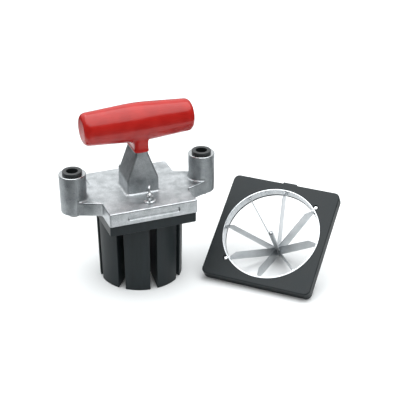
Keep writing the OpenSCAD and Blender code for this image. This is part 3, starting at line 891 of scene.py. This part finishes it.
handed_over(blade_frame_piece(), "blade_frame", unit, textured_frame)
handed_over(blade_band_piece(), "blade_band", unit, brushed_band)
for i in range(blade_count):
    handed_over(half_blade(f"ground_blade_{i + 1}", i), f"blade_{i + 1}", unit,
                ground_blade)
handed_over(hub_post_piece(), "hub_post", unit, drawn_dowel)
for end, turn in (("upper", 1), ("lower", -1)):
    handed_over(band_pin_piece(f"dowel_pin_{end}", turn), f"band_pin_{end}", unit, polished_pin)

# ---- Table, light and camera ----

# Where the painted dark reflection of the table begins: round the two items, and ahead
dark_reflection_middle, dark_reflection_from, dark_reflection_to = (-0.03, 0.08, 0), 0.36, 0.5
front_way, front_from, front_to = (-0.66, -0.75, 0), 0.18, 0.28
table_size, white_from, white_to, mirror_lift = 30, 0.9, 3.0, 0.03
sweep_way, sweep_from, sweep_to, room_low, room_high = (0.02, 0.49, 0.87), 0.1, 0.95, 0.16, 1.22
camera_lens, camera_sensor, camera_place = 97.83, 36, Vector((-330.7, -1053.3, 665.0)) * mm
camera_down, camera_turn = math.radians(27.497), math.radians(-21.046)

clear_bench()
bpy.ops.mesh.primitive_plane_add(size=table_size, location=(0, 0, 0))
table_top = new_piece("table_top")
paper = bpy.data.materials.new("white_paper")
paper.use_nodes = True
tree = paper.node_tree
tree.nodes.clear()
# For glossy rays only, the table is painted white near the items and dark grey further off: a painted dark
# reflection in the metal, while the camera still sees it white
ray = add(tree, "ShaderNodeLightPath", {}).outputs
spot = add(tree, "ShaderNodeTexCoord", {}).outputs["Object"]
around = add(tree, "ShaderNodeVectorMath", {"operation": "DISTANCE", 1: dark_reflection_middle}, [(0, spot)])
far_end = spanned(tree, around.outputs["Value"], dark_reflection_from, dark_reflection_to, soft=True)
near_end = spanned(tree, toward(tree, spot, front_way), front_from, front_to, soft=True)
painted_dark_reflection = maths(tree, "MULTIPLY", maths(tree, "MAXIMUM", far_end, near_end), ray["Is Glossy Ray"])
# Painted dark reflection: grey mixed in only where glossy rays meet the table
tone = add(tree, "ShaderNodeMix", {"data_type": "RGBA", 6: linear("#E4E5E5"), 7: linear("#34373A")},
           [("Factor", painted_dark_reflection)]).outputs[2]
matt = add(tree, "ShaderNodeBsdfDiffuse", {}, [("Color", tone)])
seen = maths(tree, "MAXIMUM", maths(tree, "MAXIMUM", ray["Is Camera Ray"], ray["Is Glossy Ray"]),
             ray["Is Transmission Ray"])
lift = maths(tree, "MULTIPLY", seen, mirror_lift)
# Beyond the softbox's reach the table keeps its white for the camera
reach_out = add(tree, "ShaderNodeVectorMath", {"operation": "LENGTH"}, [(0, spot)]).outputs["Value"]
far_off = spanned(tree, reach_out, white_from, white_to)
level = maths(tree, "MULTIPLY_ADD", far_off, ray["Is Camera Ray"], lift)
glow = add(tree, "ShaderNodeEmission", {}, [("Color", tone), ("Strength", level)])
whole = add(tree, "ShaderNodeAddShader", {}, [(0, matt.outputs[0]), (1, glow.outputs[0])])
add(tree, "ShaderNodeOutputMaterial", {}, [("Surface", whole.outputs[0])])
table_top.data.materials.append(paper)

room = bpy.data.worlds.new("studio")
bpy.context.scene.world = room
room.use_nodes = True
tree = room.node_tree
tree.nodes.clear()
# A white sweep stands high behind the table, with the dimmer studio at the sides and in front
way = add(tree, "ShaderNodeTexCoord", {}).outputs["Generated"]
sweep = spanned(tree, toward(tree, way, sweep_way), sweep_from, sweep_to, room_low, room_high, soft=True)
# Seen straight, beyond the table's edge, the room is plain white
straight = add(tree, "ShaderNodeLightPath", {}).outputs["Is Camera Ray"]
level = maths(tree, "MAXIMUM", sweep, maths(tree, "MULTIPLY", straight, 1.1))
walls = add(tree, "ShaderNodeBackground", {"Color": linear("#F7F9FA")}, [("Strength", level)])
add(tree, "ShaderNodeOutputWorld", {}, [("Surface", walls.outputs[0])])


def softbox(name, width, depth, place, aim, level):
    """A rectangular lamp that looks at a point, with the given brightness of its face."""
    clear_bench()
    bpy.ops.object.light_add(type="AREA", location=place)
    lamp = bpy.context.object
    lamp.name = name
    lamp.data.shape, lamp.data.size, lamp.data.size_y = "RECTANGLE", width, depth
    lamp.data.color = linear("#F9FBFC")[:3]
    lamp.data.energy = level * math.pi * width * depth
    lamp.rotation_euler = (Vector(aim) - Vector(place)).to_track_quat("-Z", "Y").to_euler()


softbox("overhead_box", width=2.2, depth=1.9, place=(-0.05, -0.02, 1.25), aim=(0, 0.05, 0), level=2.6)

camera = bpy.data.cameras.new("camera")
camera.lens, camera.sensor_width = camera_lens, camera_sensor
camera.clip_start, camera.clip_end = 0.05, 20
eye = bpy.data.objects.new("camera", camera)
bpy.context.scene.collection.objects.link(eye)
eye.location = camera_place + Vector((head_x, head_y, 0))
eye.rotation_euler = (math.pi / 2 - camera_down, 0, camera_turn)
bpy.context.scene.camera = eye
bpy.context.scene.view_settings.view_transform = "Standard"
